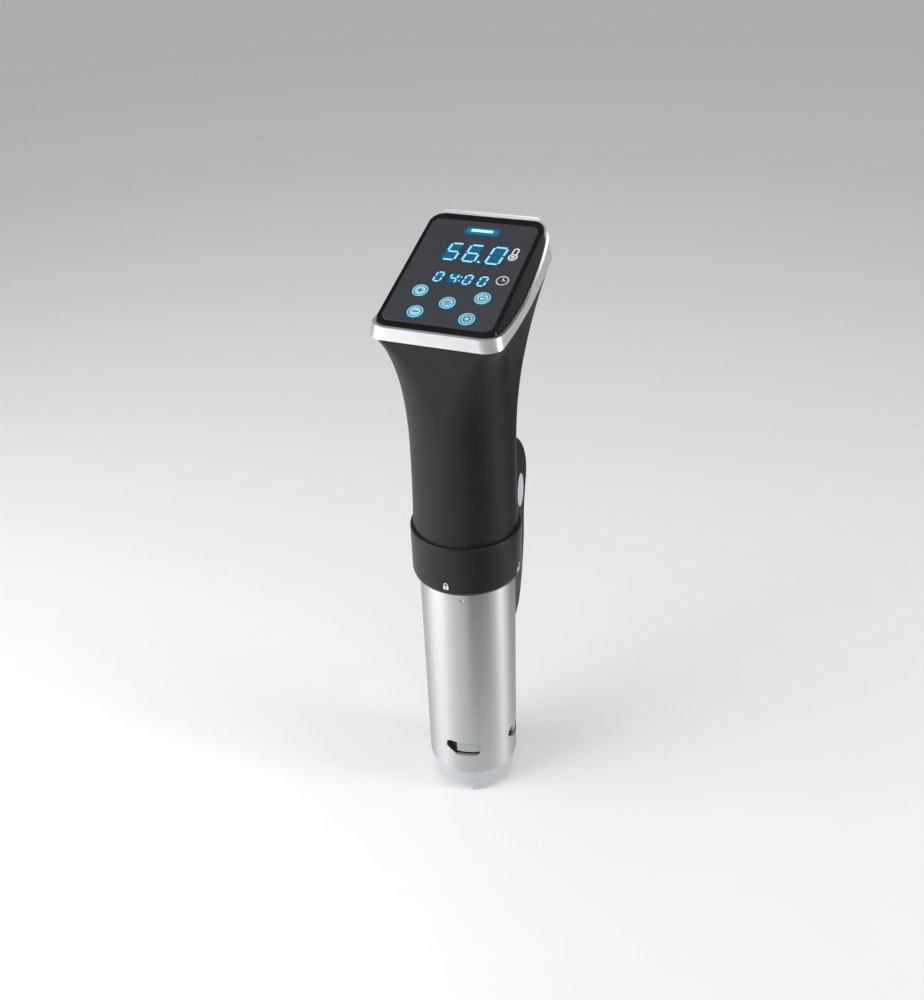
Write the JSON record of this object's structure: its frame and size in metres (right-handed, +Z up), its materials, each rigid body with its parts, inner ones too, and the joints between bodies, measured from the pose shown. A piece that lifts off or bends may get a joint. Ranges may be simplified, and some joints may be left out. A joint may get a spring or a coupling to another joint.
{
  "type": "sous vide circulator",
  "caption": "Clamp-on sous vide circulator: flared black handle with tilted touch display, twist-off steel sleeve over heater and impeller, and a sprung pot clamp at the back.",
  "frame": {"origin": "on the steel sleeve's axis, in the plane of the bottom cap's feet", "axes": "+Z up along the sleeve, -Y is the front that the display leans toward, +Y the clamp side"},
  "size_m": [0.0776, 0.1117, 0.3804],
  "materials": {
    "black_soft": "satin",
    "black_gloss": "gloss",
    "lens": "gloss",
    "steel": "satin",
    "rim": "satin",
    "milky": "satin",
    "white_plastic": "satin",
    "rubber": "matte",
    "seal_rubber": "matte",
    "grip_grey": "matte",
    "board_green": "gloss",
    "led_cyan": "gloss",
    "copper_lead": "satin",
    "aluminium": "satin",
    "brass": "satin",
    "motor_steel": "satin",
    "dark_part": "matte"
  },
  "bodies": {
    "housing": {"collar": "black_soft", "bulkhead": "dark_part", "bulkhead_gasket": "seal_rubber", "bulkhead_screws": "motor_steel", "shaft_tube": "steel", "lower_bush": "white_plastic", "upper_bush": "white_plastic", "shaft_seal": "rubber", "heater_element": "steel", "heater_terminals": "brass", "temp_probe": "steel", "level_probes": "steel", "thermal_cutout": "dark_part", "motor_mount": "aluminium", "motor": "motor_steel", "motor_screws": "motor_steel", "front_shell": "black_soft", "rear_shell": "black_soft", "shell_screws": "motor_steel", "cord_gland": "rubber", "head_rim": "rim", "display_housing": "black_gloss", "display_lens": "lens", "display_board": "board_green", "display_screws": "motor_steel", "digit_module": "led_cyan", "light_bar": "led_cyan", "touch_pads": "led_cyan", "buzzer": "dark_part", "power_board": "board_green", "board_screws": "motor_steel", "transformer": "dark_part", "relay": "dark_part", "capacitors": "dark_part", "triac_heatsink": "aluminium", "inner_wiring": "copper_lead", "display_ribbon": "white_plastic", "clamp_spring": "motor_steel"},
    "rotor": {"motor_shaft": "motor_steel", "shaft_coupling": "brass", "drive_shaft": "motor_steel", "impeller": "white_plastic"},
    "lock_ring": {"bayonet_ring": "dark_part", "sleeve_seal": "seal_rubber"},
    "sleeve_set": {"sleeve": "steel", "bottom_cap": "milky", "inlet_ring": "milky"},
    "clamp": {"clamp_lever": "black_soft", "lever_grips": "grip_grey", "clamp_pin": "motor_steel", "jaw_pad": "rubber"}
  },
  "joints": [
    {"name": "rotor_spin", "type": "hinge", "parent": "housing", "child": "rotor", "pos_m": [0, 0, 0.1], "axis": [0, 0, 1], "continuous": true},
    {"name": "sleeve_twist", "type": "hinge", "parent": "housing", "child": "lock_ring", "pos_m": [0, 0, 0.19], "axis": [0, 0, 1], "range_deg": [0, 75]},
    {"name": "sleeve_pull", "type": "slide", "parent": "lock_ring", "child": "sleeve_set", "axis": [0, 0, 1], "range_m": [-0.175, 0]},
    {"name": "clamp_open", "type": "hinge", "parent": "housing", "child": "clamp", "pos_m": [0, 0.052, 0.196], "axis": [1, 0, 0], "range_deg": [0, 16], "stiffness_Nm_per_rad": 1.5, "springref_deg": -28.65}
  ]
}
